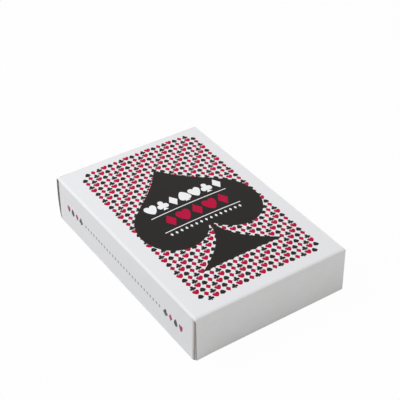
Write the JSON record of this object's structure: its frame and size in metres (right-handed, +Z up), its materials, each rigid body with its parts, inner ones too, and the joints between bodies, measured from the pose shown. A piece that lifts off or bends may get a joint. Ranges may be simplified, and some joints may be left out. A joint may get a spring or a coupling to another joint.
{
  "type": "playing card deck",
  "caption": "Playing cards stacked face down in a folded white tuck carton whose lid, tongue and dust flaps swing open so that the deck can be drawn out.",
  "frame": {"origin": "middle of the back panel's outer face, on which the deck lies", "axes": "+X across the carton, +Y along it towards the lid, +Z up out of the printed front panel"},
  "size_m": [0.0606, 0.0912, 0.018],
  "materials": {
    "carton_board": "satin",
    "card_stock": "satin"
  },
  "bodies": {
    "carton": {"carton_sleeve": "carton_board", "bottom_closure": "carton_board"},
    "lid": {"top_lid": "carton_board"},
    "tongue": {"tuck_tongue": "carton_board"},
    "left_flap": {"dust_flap_left": "carton_board"},
    "right_flap": {"dust_flap_right": "carton_board"},
    "deck": {"ace_of_spades": "card_stock", "two_of_spades": "card_stock", "three_of_spades": "card_stock", "four_of_spades": "card_stock", "five_of_spades": "card_stock", "six_of_spades": "card_stock", "seven_of_spades": "card_stock", "eight_of_spades": "card_stock", "nine_of_spades": "card_stock", "ten_of_spades": "card_stock", "jack_of_spades": "card_stock", "queen_of_spades": "card_stock", "king_of_spades": "card_stock", "ace_of_hearts": "card_stock", "two_of_hearts": "card_stock", "three_of_hearts": "card_stock", "four_of_hearts": "card_stock", "five_of_hearts": "card_stock", "six_of_hearts": "card_stock", "seven_of_hearts": "card_stock", "eight_of_hearts": "card_stock", "nine_of_hearts": "card_stock", "ten_of_hearts": "card_stock", "jack_of_hearts": "card_stock", "queen_of_hearts": "card_stock", "king_of_hearts": "card_stock", "ace_of_clubs": "card_stock", "two_of_clubs": "card_stock", "three_of_clubs": "card_stock", "four_of_clubs": "card_stock", "five_of_clubs": "card_stock", "six_of_clubs": "card_stock", "seven_of_clubs": "card_stock", "eight_of_clubs": "card_stock", "nine_of_clubs": "card_stock", "ten_of_clubs": "card_stock", "jack_of_clubs": "card_stock", "queen_of_clubs": "card_stock", "king_of_clubs": "card_stock", "ace_of_diamonds": "card_stock", "two_of_diamonds": "card_stock", "three_of_diamonds": "card_stock", "four_of_diamonds": "card_stock", "five_of_diamonds": "card_stock", "six_of_diamonds": "card_stock", "seven_of_diamonds": "card_stock", "eight_of_diamonds": "card_stock", "nine_of_diamonds": "card_stock", "ten_of_diamonds": "card_stock", "jack_of_diamonds": "card_stock", "queen_of_diamonds": "card_stock", "king_of_diamonds": "card_stock", "black_joker": "card_stock", "red_joker": "card_stock"}
  },
  "joints": [
    {"name": "lid_hinge", "type": "hinge", "parent": "carton", "child": "lid", "pos_m": [0, 0.04514, 0.01754], "axis": [1, 0, 0], "range_deg": [0, 180], "deforming": ["tuck_tongue"]},
    {"name": "tongue_fold", "type": "hinge", "parent": "lid", "child": "tongue", "pos_m": [0, 0.04514, 0.00094], "axis": [1, 0, 0], "range_deg": [0, 30]},
    {"name": "left_flap_hinge", "type": "hinge", "parent": "carton", "child": "left_flap", "pos_m": [-0.02984, 0.04466, 0.009], "axis": [0, 0, 1], "range_deg": [0, 120]},
    {"name": "right_flap_hinge", "type": "hinge", "parent": "carton", "child": "right_flap", "pos_m": [0.02984, 0.04466, 0.009], "axis": [0, 0, -1], "range_deg": [0, 120]},
    {"name": "deck_draw", "type": "slide", "parent": "carton", "child": "deck", "axis": [0, 1, 0], "range_m": [0, 0.009]}
  ],
  "couplings": [
    {"joint": "lid_hinge", "follows": "deck_draw", "rad_per_m": 349.06},
    {"joint": "tongue_fold", "follows": "deck_draw", "rad_per_m": 58.177},
    {"joint": "left_flap_hinge", "follows": "deck_draw", "rad_per_m": 232.71},
    {"joint": "right_flap_hinge", "follows": "deck_draw", "rad_per_m": 232.71}
  ]
}
